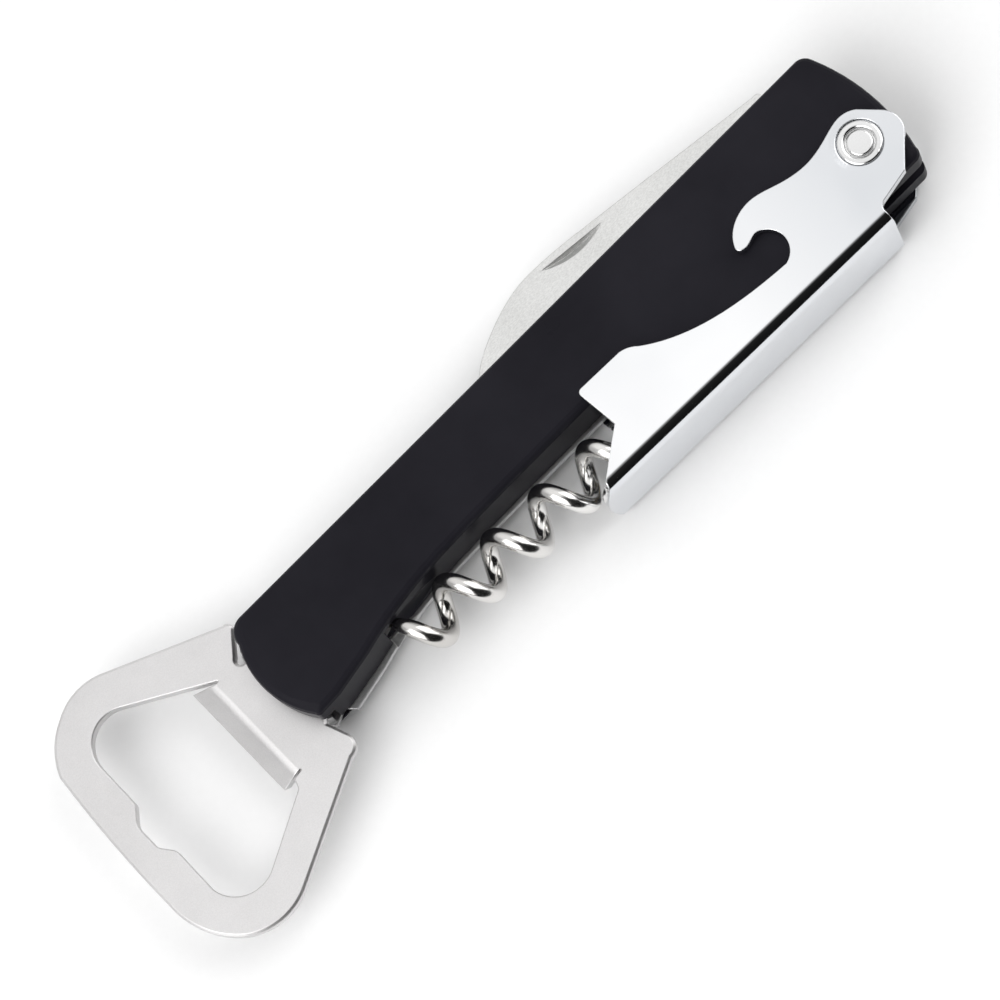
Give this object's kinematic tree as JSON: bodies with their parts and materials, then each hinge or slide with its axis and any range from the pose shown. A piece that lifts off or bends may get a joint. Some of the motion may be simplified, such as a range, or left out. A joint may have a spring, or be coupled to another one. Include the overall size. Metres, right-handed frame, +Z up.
{
  "type": "waiters corkscrew",
  "caption": "Folding waiter's corkscrew: black handle with a cap lifter at one end, two-step polished lever, right-handed wire worm and a foil knife folded along its back.",
  "frame": {"origin": "centre of the footprint, at the outer face of the lever's far cheek, on which it lies", "axes": "+X from the cap lifter to the lever hinge, +Y to the knife side, +Z up through the thickness"},
  "size_m": [0.1434, 0.0436, 0.014],
  "materials": {
    "scale_black": "moulded, satin gloss",
    "lifter_steel": "fine satin",
    "liner_steel": "stamped",
    "spacer_black": "moulded",
    "spring_steel": "ground edge",
    "blade_steel": "fine ground satin",
    "worm_chrome": "polished",
    "lever_chrome": "polished plate",
    "rivet_steel": "polished",
    "pin_steel": "turned",
    "washer_brass": "turned"
  },
  "bodies": {
    "handle": {"near_scale": "scale_black", "far_scale": "scale_black", "near_liner": "liner_steel", "far_liner": "liner_steel", "opener_plate": "lifter_steel", "near_tang_spacer": "spacer_black", "far_tang_spacer": "liner_steel", "tail_rivets": "pin_steel", "back_spring": "spring_steel", "spring_spacers": "spacer_black", "spring_rivets": "pin_steel", "near_scale_pins": "pin_steel", "far_scale_pins": "pin_steel", "head_bush": "spacer_black", "post_spacer": "pin_steel", "post_rivet": "pin_steel", "worm_pin": "pin_steel", "worm_washers": "washer_brass", "knife_pin": "pin_steel", "knife_washers": "washer_brass", "lever_rivet": "rivet_steel", "lever_rivet_pin": "rivet_steel"},
    "worm": {"worm": "worm_chrome"},
    "knife": {"knife_blade": "blade_steel"},
    "lever": {"lever": "lever_chrome"}
  },
  "joints": [
    {"name": "lever_swing", "type": "hinge", "parent": "handle", "child": "lever", "pos_m": [0.06556, -0.00394, 0.007], "axis": [0, 0, 1], "range_deg": [0, 110]},
    {"name": "worm_swing", "type": "hinge", "parent": "handle", "child": "worm", "pos_m": [0.02506, -0.00864, 0.007], "axis": [0, 0, 1], "range_deg": [0, 90]},
    {"name": "knife_swing", "type": "hinge", "parent": "handle", "child": "knife", "pos_m": [0.06546, 0.00646, 0.007], "axis": [0, 0, -1], "range_deg": [0, 180]}
  ],
  "couplings": [
    {"joint": "worm_swing", "follows": "lever_swing", "ratio": 0.8181}
  ]
}
